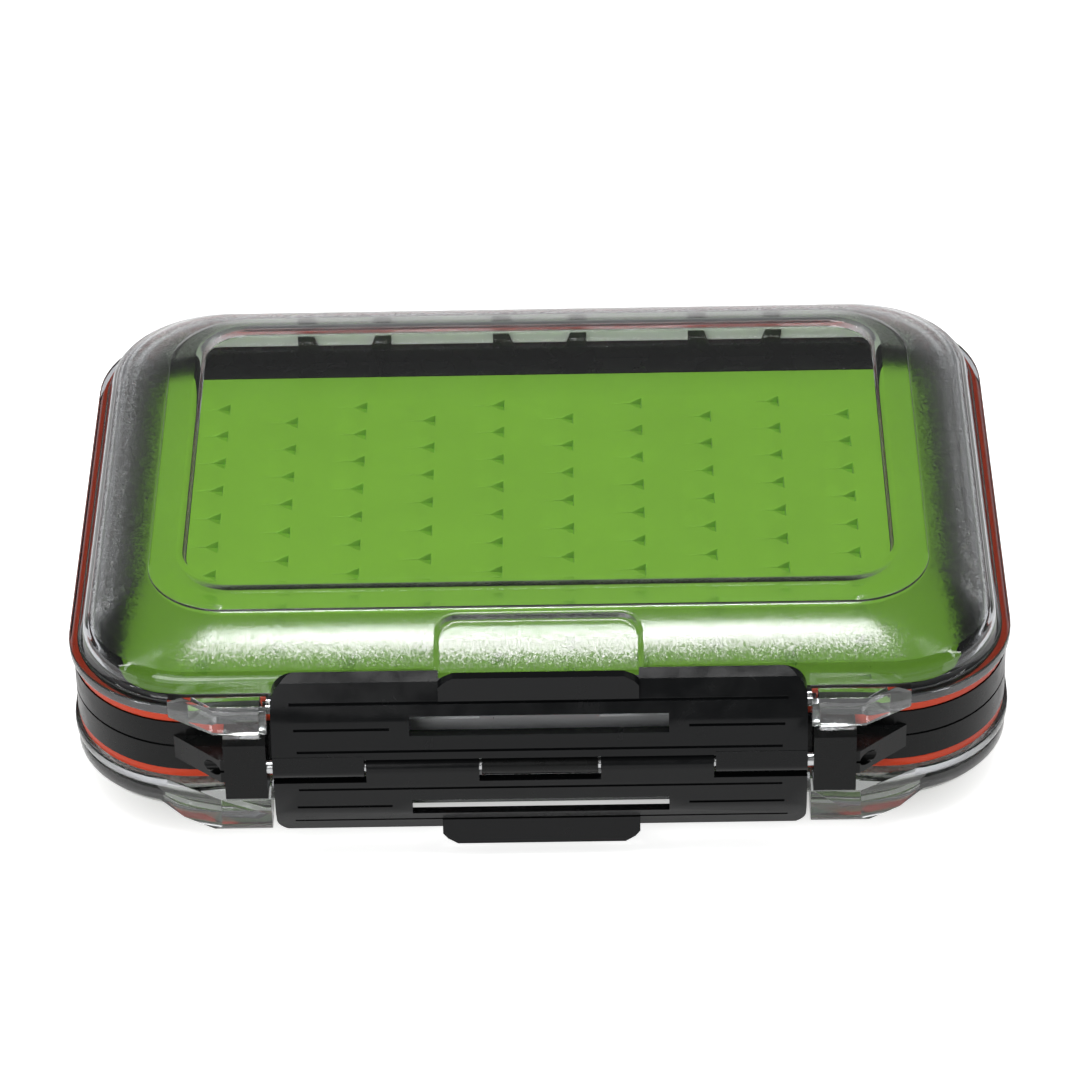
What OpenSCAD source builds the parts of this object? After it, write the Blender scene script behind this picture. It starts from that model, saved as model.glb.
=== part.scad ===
// Double-sided waterproof fly box: a black middle frame holds a slit silicone pad on each face,
// a clear lid is hinged along the back of each face, and two black latches share one steel pin
// at the front. Sizes are in millimetres. X runs to the right, Y to the back and Z up.
// The modules draw around the middle plane of the case, and each node is lifted on its base.

/* [Case] */
// Width over the lid flanges, left to right
case_w = 154; // [128:1:200]
// Depth over the lid flanges, front to back
case_d = 112; // [93:1:150]
// Thickness of the closed case, base to top
case_t = 39.2; // [34:0.2:60]
// Corner radius of the lid flanges
corner_r = 21; // [16:0.5:28]

/* [Lids] */
// Height of a flange's sealing face above the middle plane
seal_z = 6.6; // [6.2:0.1:7.6]
// Thickness of a flange
flange_t = 1.8; // [1.4:0.1:2.4]
// Ledge from the flange's edge in to the foot of the lid's wall
ledge = 1.7; // [1:0.1:2.5]
// How far the lid's wall leans in from its foot to its top
wall_lean = 1.1; // [0.4:0.1:1.6]
// Wall thickness of a lid
lid_wall = 1.9; // [1.2:0.1:2.4]
// Height of the dome from the shoulder to the band
dome_h = 4.8; // [3:0.1:5.2]
// Height from the dome's top to the rim, over the sloping band
band_rise = 2.1; // [1.2:0.1:3]
// Inset of the band's outer edge from the flange's edge
band_inset = 13.2; // [9:0.1:20]
// Corner radius of the band's outer edge
band_r = 13; // [8:0.5:17]
// Width of the sloping band round the window
band_w = 5.9; // [4:0.1:10]
// Width of the flat rim round the window
rim_w = 1.2; // [0.6:0.1:3]
// Corner radius of the window
window_r = 8; // [4:0.5:11]
// Depth of the window below the rim
window_d = 1; // [0.4:0.1:1.6]
// Width of the finger scoop
scoop_w = 32.8; // [20:0.2:40]
// Depth of the finger scoop below the dome
scoop_d = 0.9; // [0.3:0.1:1.2]

/* [Frame] */
// Height of the frame's outer band
band_t = 9.4; // [8:0.2:10.4]
// Inset of the frame from the flange's edge
frame_inset = 0.6; // [0.2:0.1:1.2]
// Width of the frame's rim, outside to inside
frame_rim = 4.9; // [3.6:0.1:8]
// Thickness of the tray that carries the pads
tray_t = 4.2; // [3.6:0.1:6]
// Black ledge left and right of a pad
pad_ledge_x = 2.5; // [1:0.1:8]
// Black ledge in front of and behind a pad
pad_ledge_y = 4.4; // [1:0.1:8]
// Width of a post beside the latches
post_w = 6.8; // [4:0.1:10]
// Height of a post's top above the middle plane
post_h = 6.1; // [5:0.1:6.2]
// Half the thickness of the web that braces a post
gusset_h = 2.2; // [1.9:0.1:4]

/* [Pads and seals] */
// Thickness of a silicone pad
pad_t = 1.6; // [0.8:0.1:1.7]
// Corner radius of a pad
pad_r = 8; // [3:0.5:14]
// Width of a seal's flat strip
seal_w = 2.6; // [1.8:0.1:3.2]
// Width of the groove in the frame for a seal's tongue
groove_w = 1.2; // [0.8:0.1:1.6]
// Depth of that groove
groove_d = 1.4; // [0.8:0.1:2]

/* [Latches] */
// Width of a latch
latch_w = 85.6; // [70:0.2:104]
// Wall thickness of a latch
latch_wall = 1.6; // [1.2:0.1:2]
// Height of a latch's roof above the lid's shoulder
roof_rise = 2.1; // [1:0.1:2.4]
// Distance between the upper latch's two knuckles
upper_gap = 56; // [40:0.5:64]
// Distance between the lower latch's two knuckles
lower_gap = 19.2; // [12:0.2:30]
// Length of the slot in a latch
slot_w = 41.4; // [24:0.2:50]
// Height of the slot in a latch
slot_h = 3.3; // [2:0.1:3.6]
// Height of the slot's middle above the pin
slot_z = 8.2; // [7.8:0.1:9]
// Width of the finger tab
tab_w = 32; // [20:0.5:40]
// Height of the finger tab's end above the roof's front edge
tab_rise = 2; // [1:0.1:2.4]
// Width and depth of the thin lines cut in a latch
line_w = 0.5; // [0.3:0.05:0.8]

/* [Pins and hinges] */
// Radius of the latch pin
pin_r = 1.2; // [0.8:0.05:1.3]
// Radius of a latch knuckle
knuckle_r = 2; // [1.9:0.05:2.1]
// Distance from the flange's edge out to the latch pin
pin_out = 4.9; // [4.6:0.1:5.4]
// Radius of a hinge pin
hinge_pin_r = 1; // [0.7:0.05:1.3]
// Radius of a hinge knuckle
hinge_r = 2.6; // [2.2:0.1:2.8]
// Distance from the flange's edge out to the hinge pins
hinge_out = 4.3; // [3.8:0.1:5]
// Height of a hinge pin above or below the middle plane
hinge_z = 3.4; // [3.1:0.1:3.6]
// Width of a hinge station
station_w = 16.5; // [12:0.5:22]
// Distance between neighbouring hinge stations
station_pitch = 34.6; // [28:0.2:42]
// Width of a frame ear at a hinge
ear_w = 3.6; // [2.4:0.1:4.5]

/* [Fits] */
// Radial clearance of a pin where it turns
turn_gap = 0.05; // [0.02:0.01:0.1]
// Radial clearance of a pin where it is held
held_gap = 0.02; // [0.01:0.01:0.05]
// Gap between parts that pass each other
side_gap = 0.3; // [0.2:0.05:0.5]
// Gap between the latches and the posts beside them
post_gap = 1; // [0.5:0.1:2]
// Gap between a seal and its lid
seal_gap = 0.15; // [0.1:0.05:0.5]
// Gap round a pad in its pocket and round a tongue in its groove
pocket_gap = 0.1; // [0.05:0.05:0.3]

/* [Hidden] */
$fn = 96;
hull_fn = 32;
thin = 0.01;
past = 1;
black = "#2a2b2c";
steel = "#c9ccd0";

// Heights and outlines of a lid
top_z = case_t / 2;
half_w = case_w / 2;
half_d = case_d / 2;
flange_z = seal_z + flange_t;
dome_z = top_z - band_rise;
shoulder_z = dome_z - dome_h;
shoulder_rise = 0.9;
wall_in = ledge + wall_lean;
shoulder_in = wall_in + 0.9;
wall_z = shoulder_z - shoulder_rise;
window_in = band_inset + band_w;
window_z = top_z - window_d;
window_bevel = 0.7;
band_step = 0.4;
dome_steps = 6;
end_slope = 0.4;
scoop_r = 3.5;
scoop_step = 1.3;
scoop_len = 40;

// Clear lugs beside the latch
lug_in = latch_w / 2 + side_gap + 0.4;
lug_flat = lug_in + 8.5;
lug_out = lug_flat + 7.6;
lug_front = -(half_d + 5.1);
lug_top = seal_z + 5.2;
lug_crest = 3.3;
lug_foot = flange_z + 1.1;
lug_wall = 1.3;
lug_chamfer = 0.6;
lug_root = 3;
lug_hollow = 3.3;

// Clear catch that shows through a latch's slot
catch_half = slot_w / 2 + side_gap;
catch_front = -(half_d + 0.9);
catch_back = -(half_d - frame_inset + side_gap);
catch_low = slot_z - 5.1;
catch_top = slot_z - 2.1;
catch_step = 0.6;
catch_groove = 0.5;
rib_low = slot_z + 1.2;
rib_top = slot_z + 3.1;

// Pins, hinges and posts
pin_y = -(half_d + pin_out);
hinge_y = half_d + hinge_out;
arm_w = station_w - 2 * ear_w - 2 * side_gap;
ear_rise = 1.2;
post_in = latch_w / 2 + post_gap;
post_out = post_in + post_w;
post_front = pin_y - 1.5;
post_chamfer = 0.8;
post_root = 3;
gusset_out = 8.4;
lug_half = lower_gap / 2 - side_gap;
lug_r = knuckle_r - 0.2;

// Frame, pads and seals
frame_x = half_w - frame_inset;
frame_y = half_d - frame_inset;
inner_x = frame_x - frame_rim;
inner_y = frame_y - frame_rim;
inner_r = corner_r - frame_inset - frame_rim;
pad_x = inner_x - pad_ledge_x;
pad_y = inner_y - pad_ledge_y;
pad_floor = tray_t / 2 - pad_t;
groove_in = frame_inset + (seal_w - groove_w) / 2;
parting_w = 0.4;
parting_d = 0.25;

// Side profile of a latch, from its knuckles to the back edge of its roof
face_y = pin_y - knuckle_r;
lean = 0.14;
bend_z = slot_z + 0.9;
crease_z = shoulder_z + roof_rise - 3;
roof_z = shoulder_z + roof_rise;
roof_back = -(half_d + 0.6);
roof_lift = 0.8;
skirt_z = knuckle_r + side_gap;
latch_corner = 4;
tab_z = roof_z + tab_rise;

// A rectangle with round corners, centred, given by its half sizes.
module round_rect(half_x, half_y, r) {
  square([2 * half_x, 2 * (half_y - r)], center = true);
  square([2 * (half_x - r), 2 * half_y], center = true);
  for (sx = [-1, 1], sy = [-1, 1])
    translate([sx * (half_x - r), sy * (half_y - r)]) circle(r);
}

// A slab of the flange's outline drawn in by an inset, between two heights.
module slab(inset, z0, z1)
  translate([0, 0, z0]) linear_extrude(z1 - z0)
    round_rect(half_w - inset, half_d - inset, corner_r - inset);

// A shape drawn in Y and Z, run along X from x0 to x1.
module along_x(x0, x1)
  translate([x0, 0, 0]) rotate([90, 0, 90]) linear_extrude(x1 - x0) children();

// A shape drawn in X and Z, run forward from the case's middle.
module from_front() rotate([90, 0, 0]) linear_extrude(case_d) children();

// A round bar along X.
module bar(x0, x1, y, z, r) along_x(x0, x1) translate([y, z]) circle(r);

// The same on the right and on the left.
module both_sides() {
  children();
  mirror([1, 0, 0]) children();
}

// The same above and below the middle plane.
module both_faces() {
  children();
  mirror([0, 0, 1]) children();
}

// A node in its place, drawn as it lies on the case's upper face.
module on_top() translate([0, 0, top_z]) children();

// A node in its place on the lower face, as the upper one in a mirror.
module below() translate([0, 0, top_z]) mirror([0, 0, 1]) children();

// The same at each of the three hinge stations.
module each_station() for (i = [-1 : 1]) translate([i * station_pitch, 0, 0]) children();

// A thin slice of a lid: inset from the flange's edge, corner radius and height.
module ring(inset, r, z)
  translate([0, 0, z]) linear_extrude(thin)
    round_rect(half_w - inset, half_d - inset, r, $fn = hull_fn);

// The dome at u, which runs from 0 at the shoulder to 1 at the band.
function dome_at(u) = shoulder_z + dome_h * (1 - end_slope * (1 - u) - (1 - end_slope) * pow(1 - u, 2));
function dome_inset(u) = shoulder_in + u * (band_inset - shoulder_in);
function dome_r(u) = (corner_r - shoulder_in) * (1 - u) + band_r * u;

// The dome and the leaning wall below it, drawn in by t.
module dome(t, z_low) hull() {
  ring(ledge + t, corner_r - ledge - t, z_low);
  ring(wall_in + t, corner_r - wall_in - t, wall_z - 1.2 * t);
  for (i = [0 : dome_steps]) {
    u = i / dome_steps;
    s = t * (1 - 0.6 * u);
    ring(dome_inset(u) + s, dome_r(u) - s, dome_at(u) - t);
  }
}

// The band that slopes from the dome up to the rim.
module lid_band() hull() {
  translate([0, 0, dome_z - past]) linear_extrude(past + band_step)
    round_rect(half_w - band_inset, half_d - band_inset, band_r, $fn = hull_fn);
  ring(window_in - rim_w, window_r + rim_w, top_z - thin);
}

// The space above the window, with bevelled sides.
module window_recess() hull() {
  ring(window_in, window_r, top_z);
  ring(window_in + window_bevel, window_r - window_bevel, window_z);
}

// The part of a lid's hollow that lies under the window, above the hollow of the dome.
module window_hollow()
  translate([0, 0, dome_z - lid_wall - past]) linear_extrude(window_z - dome_z + past)
    round_rect(half_w - window_in, half_d - window_in, window_r);

// The finger scoop, open at the front.
module scoop() difference() {
  translate([0, band_inset - half_d - scoop_step - scoop_len / 2, wall_z - past / 2])
    linear_extrude(case_t) round_rect(scoop_w / 2, scoop_len / 2, scoop_r);
  translate([0, 0, -scoop_d]) dome(0, flange_z);
}

// Clear lug beside the latch, hollow underneath.
module lid_lug() difference() {
  intersection() {
    translate([0, 0, seal_z]) linear_extrude(lug_top)
      polygon([[lug_in, lug_root - half_d], [lug_in, lug_front], [lug_flat, lug_front],
               [lug_out, -half_d - 0.2], [lug_out, lug_root - half_d]]);
    along_x(lug_in, lug_out)
      polygon([[lug_root - half_d, seal_z], [lug_front, seal_z], [lug_front, lug_top - lug_chamfer],
               [lug_front + lug_chamfer, lug_top], [lug_front + lug_crest, lug_top],
               [-half_d, lug_foot], [lug_root - half_d, lug_foot]]);
  }
  translate([0, 0, seal_z - past]) linear_extrude(past + lug_hollow)
    polygon([[lug_in + lug_wall, -half_d - 0.5], [lug_in + lug_wall, lug_front + lug_wall],
             [lug_flat - 0.6, lug_front + lug_wall], [lug_out - 4, -half_d - 0.5]]);
}

// Clear catch behind a latch: a ridge with a raised middle, a groove and a rib.
module lid_catch() {
  along_x(-catch_half, catch_half)
    polygon([[catch_front, catch_low], [catch_back, catch_low], [catch_back, seal_z],
             [lug_root - half_d, seal_z], [lug_root - half_d, rib_top], [catch_front, rib_top],
             [catch_front, rib_low], [catch_front + catch_groove, rib_low],
             [catch_front + catch_groove, catch_top], [catch_front, catch_top]]);
  along_x(-lower_gap / 2, lower_gap / 2)
    translate([catch_front, catch_top - past]) square([catch_groove + 0.1, past + catch_step]);
}

// Arm and knuckle of a lid at one hinge station.
module lid_arm() along_x(-arm_w / 2, arm_w / 2) {
  translate([hinge_y, hinge_z]) circle(hinge_r);
  polygon([[half_d - past, seal_z], [half_d - past, flange_z], [half_d + 0.6, flange_z],
           [hinge_y + 0.6 * hinge_r, hinge_z + 0.79 * hinge_r], [hinge_y, hinge_z],
           [hinge_y - 0.88 * hinge_r, hinge_z + 0.46 * hinge_r], [hinge_y - hinge_r, seal_z]]);
}

// One clear lid.
module lid() color("#cfd4d6", 0.5) difference() {
  union() {
    slab(0, seal_z, flange_z);
    dome(0, flange_z - past / 2);
    lid_band();
    both_sides() lid_lug();
    lid_catch();
    each_station() lid_arm();
  }
  dome(lid_wall, seal_z - past);
  window_hollow();
  window_recess();
  scoop();
  bar(-half_w, half_w, hinge_y, hinge_z, hinge_pin_r + turn_gap);
}

// Block that carries the latch pin beside the latches, with the web that braces it.
module frame_post() {
  along_x(post_in, post_out)
    polygon([[-frame_y, -post_h], [post_front + post_chamfer, -post_h],
             [post_front, post_chamfer - post_h], [post_front, post_h - post_chamfer],
             [post_front + post_chamfer, post_h], [-frame_y, post_h]]);
  translate([post_in, -frame_y - thin, -band_t / 2]) cube([post_w + gusset_out - 2, post_root, band_t]);
  translate([0, 0, -gusset_h]) linear_extrude(2 * gusset_h)
    polygon([[post_out - past, past - frame_y], [post_out - past, post_front + 0.3],
             [post_out + 0.6, post_front + 0.3], [post_out + gusset_out, 0.1 - frame_y],
             [post_out + gusset_out, past - frame_y]]);
}

// Lug that carries the pin in the notch between the latches.
module middle_lug() along_x(-lug_half, lug_half) {
  translate([pin_y, 0]) circle(lug_r);
  polygon([[pin_y, lug_r], [pin_y, -lug_r], [past - frame_y, -lug_r - 1.1], [past - frame_y, lug_r + 1.1]]);
}

// Two ears of the frame at one hinge station. Each holds an upper and a lower pin.
module frame_ears() for (s = [-1, 1])
  translate([s * (station_w - ear_w) / 2, 0, 0]) along_x(-ear_w / 2, ear_w / 2) {
    for (f = [-1, 1]) translate([hinge_y, f * hinge_z]) circle(hinge_r);
    polygon([[frame_y - past, -band_t / 2], [frame_y - past, band_t / 2], [frame_y, band_t / 2],
             [frame_y, band_t / 2 + ear_rise], [hinge_y, hinge_z + hinge_r],
             [hinge_y + hinge_r, hinge_z], [hinge_y + hinge_r, -hinge_z],
             [hinge_y, -hinge_z - hinge_r], [frame_y, -band_t / 2 - ear_rise], [frame_y, -band_t / 2]]);
  }

// What is taken out of the frame on each face: the tray, the pad's pocket and the seal's groove.
module frame_hollow() {
  translate([0, 0, tray_t / 2]) linear_extrude(band_t) round_rect(inner_x, inner_y, inner_r);
  translate([0, 0, pad_floor]) linear_extrude(band_t) round_rect(pad_x, pad_y, pad_r);
  difference() {
    slab(groove_in, band_t / 2 - groove_d, band_t);
    slab(groove_in + groove_w, band_t / 2 - groove_d - past, band_t + past);
  }
}

// Shallow line round the middle of the frame's outer face, from one brace round to the other.
module parting_line() difference() {
  slab(-past, -parting_w / 2, parting_w / 2);
  slab(frame_inset + parting_d, -past, past);
  translate([0, -half_d, 0]) cube([2 * (post_out + gusset_out), half_d, past], center = true);
}

// Black middle frame.
module middle_frame() color(black) difference() {
  union() {
    slab(frame_inset, -band_t / 2, band_t / 2);
    both_sides() frame_post();
    middle_lug();
    each_station() frame_ears();
  }
  both_faces() frame_hollow();
  parting_line();
  bar(-half_w, half_w, pin_y, 0, pin_r + held_gap);
  for (f = [-1, 1]) bar(-half_w, half_w, hinge_y, f * hinge_z, hinge_pin_r + held_gap);
}

// Silicone pad, drawn plain. It lies in the tray's pocket.
module pad() color("#8bc643")
  translate([0, 0, pad_floor]) linear_extrude(pad_t)
    round_rect(pad_x - pocket_gap, pad_y - pocket_gap, pad_r - pocket_gap);

// Orange seal: a flat strip with a tongue in the frame's groove.
module seal() color("#c63e14") difference() {
  union() {
    slab(frame_inset, band_t / 2, seal_z - seal_gap);
    slab(groove_in + pocket_gap, band_t / 2 - groove_d + pocket_gap, band_t / 2 + thin);
  }
  slab(frame_inset + seal_w, band_t / 2, seal_z);
  slab(groove_in + groove_w - pocket_gap, band_t / 2 - groove_d, band_t / 2);
}

// The front face of a latch in Y and Z, from the skirt over the knuckles up to the roof.
latch_face = [
  [face_y + lean * skirt_z, skirt_z], [face_y + lean * bend_z, bend_z],
  [face_y + 2.7, crease_z], [face_y + 4.4, roof_z], [roof_back, roof_z + roof_lift]
];

// The same face with a wall behind it.
module latch_shell() polygon(concat(latch_face, [
  [roof_back, roof_z - 0.5], [face_y + 4.9, roof_z - 1.1], [face_y + 4.5, roof_z - 2.4],
  [face_y + lean * bend_z + latch_wall, bend_z], [face_y + lean * skirt_z + latch_wall, skirt_z]
]));

// The end wall that closes a latch at its left or right end.
module latch_end() polygon(concat(latch_face, [
  [roof_back, roof_z - 2], [-half_d - 1.4, bend_z], [pin_y + 1.6, skirt_z]
]));

// Finger tab on the free end, from the side and from the front.
module tab_side() polygon([
  [face_y + 2.7, crease_z], [face_y + 2.35, tab_z], [face_y + 3.95, tab_z], [face_y + 5.1, roof_z - 1.5]
]);
module tab_front() polygon([
  [-tab_w / 2, crease_z], [tab_w / 2, crease_z], [tab_w / 2, roof_z], [tab_w / 2 - 0.8, tab_z - 1],
  [tab_w / 2 - 2.4, tab_z], [2.4 - tab_w / 2, tab_z], [0.8 - tab_w / 2, tab_z - 1], [-tab_w / 2, roof_z]
]);

// A thin line across a latch's front, centred at x and z, on a face that is set back by y_in.
module latch_line(x, w, z, y_in)
  translate([x - w / 2, face_y + y_in - past, z - line_w / 2]) cube([w, past + 0.3, line_w]);

// Two long lines and a short one at each end.
module latch_lines() {
  latch_line(0, latch_w - 8, 1.9 * knuckle_r, lean * 1.9 * knuckle_r);
  latch_line(0, latch_w - 6, crease_z, 2.7);
  both_sides() latch_line((slot_w + latch_w) / 4 - 0.2, 15.3, slot_z - 0.4, lean * slot_z);
}

// One latch, with its knuckles between x_in and x_out on both sides.
module latch(x_in, x_out) color(black) difference() {
  union() {
    intersection() {
      union() {
        along_x(-latch_w / 2, latch_w / 2) latch_shell();
        both_sides() along_x(latch_w / 2 - latch_wall, latch_w / 2) latch_end();
      }
      from_front() translate([0, roof_z + roof_lift - latch_w / 2])
        round_rect(latch_w / 2, latch_w / 2, latch_corner);
    }
    intersection() {
      along_x(-tab_w / 2, tab_w / 2) tab_side();
      from_front() tab_front();
    }
    both_sides() along_x(x_in, x_out) {
      translate([pin_y, 0]) circle(knuckle_r);
      polygon([[face_y, 0], [face_y + 0.33, skirt_z + 0.6], [pin_y + 0.2, skirt_z + 0.6],
               [pin_y + knuckle_r, 0]]);
    }
  }
  translate([-tab_w / 2, face_y + 5, roof_z - 1.7]) cube([tab_w, 4, case_t]);
  translate([-slot_w / 2, face_y - past, slot_z - slot_h / 2]) cube([slot_w, 6, slot_h]);
  latch_lines();
  bar(-half_w, half_w, pin_y, 0, pin_r + turn_gap);
}

// Three short pins, one at each hinge station.
module hinge_pins() color(steel) each_station()
  bar(side_gap - station_w / 2, station_w / 2 - side_gap, hinge_y, hinge_z, hinge_pin_r);

module frame() on_top() middle_frame();
module upper_pad() on_top() pad();
module lower_pad() below() pad();
module upper_seal() on_top() seal();
module lower_seal() below() seal();
module top_lid() on_top() lid();
module bottom_lid() below() lid();
module upper_latch() on_top() latch((upper_gap + side_gap) / 2, latch_w / 2);
module lower_latch() below() latch((lower_gap + side_gap) / 2, (upper_gap - side_gap) / 2);
module latch_pin() on_top() color(steel) bar(0.4 - post_out, post_out - 0.4, pin_y, 0, pin_r);
module upper_hinge_pins() on_top() hinge_pins();
module lower_hinge_pins() below() hinge_pins();

frame();
upper_pad();
lower_pad();
upper_seal();
lower_seal();
top_lid();
bottom_lid();
upper_latch();
lower_latch();
latch_pin();
upper_hinge_pins();
lower_hinge_pins();
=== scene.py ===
"""Looks of a double-sided fly box, built round its CAD frame.

Everything is in metres and in the frame of the CAD model: X to the right, Y to the back, Z up,
with the base at Z = 0. Profiles are written in millimetres from the middle plane of the case.
"""

import math

import bmesh
import bpy
from mathutils import Matrix, Vector, geometry


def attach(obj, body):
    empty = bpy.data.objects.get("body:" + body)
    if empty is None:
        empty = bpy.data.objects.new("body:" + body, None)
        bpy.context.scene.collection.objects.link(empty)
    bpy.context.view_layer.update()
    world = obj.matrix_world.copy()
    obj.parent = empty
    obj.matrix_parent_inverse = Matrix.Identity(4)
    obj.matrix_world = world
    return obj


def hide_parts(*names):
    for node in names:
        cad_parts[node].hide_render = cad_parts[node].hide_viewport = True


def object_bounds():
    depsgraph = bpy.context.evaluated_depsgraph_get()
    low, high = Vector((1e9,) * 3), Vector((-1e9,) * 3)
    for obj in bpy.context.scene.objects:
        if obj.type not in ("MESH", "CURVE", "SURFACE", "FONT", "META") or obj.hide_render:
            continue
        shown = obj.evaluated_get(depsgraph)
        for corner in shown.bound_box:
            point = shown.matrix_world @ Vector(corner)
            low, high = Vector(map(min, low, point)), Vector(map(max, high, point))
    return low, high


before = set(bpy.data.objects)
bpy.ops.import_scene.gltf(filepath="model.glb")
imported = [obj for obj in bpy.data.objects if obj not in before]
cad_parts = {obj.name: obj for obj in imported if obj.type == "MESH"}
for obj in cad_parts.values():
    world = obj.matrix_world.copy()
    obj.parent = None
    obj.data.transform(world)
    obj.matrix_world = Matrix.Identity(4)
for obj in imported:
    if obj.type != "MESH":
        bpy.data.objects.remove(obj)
CAD_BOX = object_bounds()

bl_info = {
    "name": "Fly box looks",
    "version": (1, 0, 0),
    "blender": (4, 5, 0),
    "location": "View3D > Sidebar > Fly box",
    "description": "Builds the visible pieces and the stage of a double-sided fly box",
    "category": "Object",
}

MM = 0.001
MIDDLE = (CAD_BOX[0].z + CAD_BOX[1].z) / 2 / MM


def linear(code):
    """Turn an sRGB hex colour into linear red, green and blue."""
    parts = [int(code[i : i + 2], 16) / 255 for i in (1, 3, 5)]
    return tuple(c / 12.92 if c <= 0.04045 else ((c + 0.055) / 1.055) ** 2.4 for c in parts)


def length(name, description, default_mm):
    """A size property, kept in metres."""
    return bpy.props.FloatProperty(
        name=name,
        description=description,
        default=default_mm * MM,
        min=0,
        subtype="DISTANCE",
        unit="LENGTH",
    )


def colour(name, description, code):
    """A colour property, kept linear."""
    return bpy.props.FloatVectorProperty(
        name=name,
        description=description,
        default=linear(code),
        min=0,
        max=1,
        size=3,
        subtype="COLOR",
    )


class FlyBoxSizes(bpy.types.PropertyGroup):
    """Sizes of the visible pieces."""

    flange_round: length("Flange rounding", "Radius of the flange's outer edges", 0.3)
    scoop_half: length("Half scoop width", "Half the width of the finger scoop in a lid", 16.4)
    scoop_depth: length("Scoop depth", "Depth of the finger scoop", 0.9)
    lug_edge: length("Lug edge", "Bevel on the clear lugs", 0.24)
    black_edge: length("Black edge", "Bevel on the edges of the black mouldings", 0.3)
    slit_pitch_x: length("Slit pitch across", "Distance between neighbouring columns of slits", 12.05)
    slit_pitch_y: length("Slit pitch along", "Distance between the slits of a column", 8.24)
    slit_open: length("Slit mouth", "Height of the open triangle at a slit's end", 3.2)
    slit_reach: length("Slit mouth length", "Length of the open triangle", 2.1)
    slit_tail: length("Slit length", "Length of the whole slit with its closed part", 5.6)
    slit_depth: length("Slit depth", "Depth of a slit's open end", 1.4)
    seal_round: length("Seal rounding", "Radius of the seals' edges", 0.3)
    frost_grain: length("Frost grain", "Grain of the frosted lid surface", 0.26)


class FlyBoxColours(bpy.types.PropertyGroup):
    """Colours of the materials."""

    frame_black: colour("Frame", "Black plastic of the middle frame", "#0B0C0C")
    latch_black: colour("Latches", "Black plastic of the latches", "#0F1011")
    lid_frost: colour("Domes", "Tint of the frosted plastic", "#E4E6E7")
    lid_clear: colour("Windows", "Tint of the clear plastic seen through", "#F4F6F7")
    # Painted shade: the walls and flange are the window's clear plastic, tinted grey to stand in for the
    # darker surroundings that they show
    lid_wall_painted_shade: colour("Lid walls", "Tint of the clear plastic where it is seen edge on", "#B4B6BA")
    pad_green: colour("Pads", "Green silicone of the pads", "#82BE30")
    seal_orange: colour("Seals", "Orange silicone of the seals", "#CC3A0C")
    pin_steel: colour("Pins", "Steel of the pins", "#B9BABB")
    floor_white: colour("Floor", "The pale floor", "#E6E6E6")


def sizes():
    """The sizes set in the panel."""
    return bpy.context.scene.fly_box_sizes


def colours():
    """The colours set in the panel."""
    return bpy.context.scene.fly_box_colours


# Mesh helpers


def mesh_object(name, bm, mats=()):
    """Turn a bmesh drawn in millimetres from the middle plane into an object in place."""
    bm.normal_update()
    mesh = bpy.data.meshes.new(name)
    bm.to_mesh(mesh)
    bm.free()
    mesh.transform(Matrix.Translation((0, 0, MIDDLE * MM)) @ Matrix.Diagonal((MM, MM, MM, 1)))
    for mat in mats:
        mesh.materials.append(mat)
    return linked(name, mesh)


def linked(name, data):
    """A new object in the scene, with the mesh, lamp or camera that it shows."""
    obj = bpy.data.objects.new(name, data)
    bpy.context.scene.collection.objects.link(obj)
    return obj


def apply_modifiers(obj):
    """Replace an object's mesh by what its modifiers make of it."""
    graph = bpy.context.evaluated_depsgraph_get()
    made = bpy.data.meshes.new_from_object(obj.evaluated_get(graph))
    old = obj.data
    obj.modifiers.clear()
    obj.data = made
    bpy.data.meshes.remove(old)


# A face with more corners than this is a flat one, and its border is a sharp edge
MOST_CORNERS = 12


def smooth_below(obj, degrees):
    """Shade smooth, with edges sharper than the angle and the borders of flat faces kept sharp."""
    bm = bmesh.new()
    bm.from_mesh(obj.data)
    limit = math.radians(degrees)
    for face in bm.faces:
        face.smooth = True
    for edge in bm.edges:
        flat = any(len(face.verts) > MOST_CORNERS for face in edge.link_faces)
        edge.smooth = not flat and edge.calc_face_angle(0) < limit
    bm.to_mesh(obj.data)
    bm.free()


def bevel(obj, width, segments=2, degrees=30):
    """Round the edges of an object that are sharper than the angle, no wider than they have room."""
    mod = obj.modifiers.new("round", "BEVEL")
    mod.width = width
    mod.segments = segments
    mod.limit_method = "ANGLE"
    mod.angle_limit = math.radians(degrees)
    mod.use_clamp_overlap = True


def combine(obj, others, operation):
    """Join solids to an object, cut them out of it or keep what they share, and remove them."""
    for other in others:
        mod = obj.modifiers.new("combine", "BOOLEAN")
        mod.operation = operation
        mod.solver = "EXACT"
        mod.object = other
    apply_modifiers(obj)
    for other in others:
        bpy.data.objects.remove(other)


def prism(name, points, low, high, axis):
    """A solid with a polygon as its section, run along X (points in Y, Z), Y (X, Z) or Z (X, Y)."""
    bm = bmesh.new()

    def place(p, t):
        return {"X": (t, p[0], p[1]), "Y": (p[0], t, p[1]), "Z": (p[0], p[1], t)}[axis]

    ends = [[bm.verts.new(place(p, t)) for p in points] for t in (low, high)]
    bm.faces.new(ends[0])
    bm.faces.new(ends[1][::-1])
    for i in range(len(points)):
        j = (i + 1) % len(points)
        bm.faces.new((ends[0][i], ends[1][i], ends[1][j], ends[0][j]))
    bmesh.ops.recalc_face_normals(bm, faces=bm.faces)
    return mesh_object(name, bm)


def round_bar(name, y, z, r, x0, x1, steps=48):
    """A round bar along X."""
    turn = 2 * math.pi / steps
    points = [(y + r * math.cos(i * turn), z + r * math.sin(i * turn)) for i in range(steps)]
    return prism(name, points, x0, x1, "X")


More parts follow.
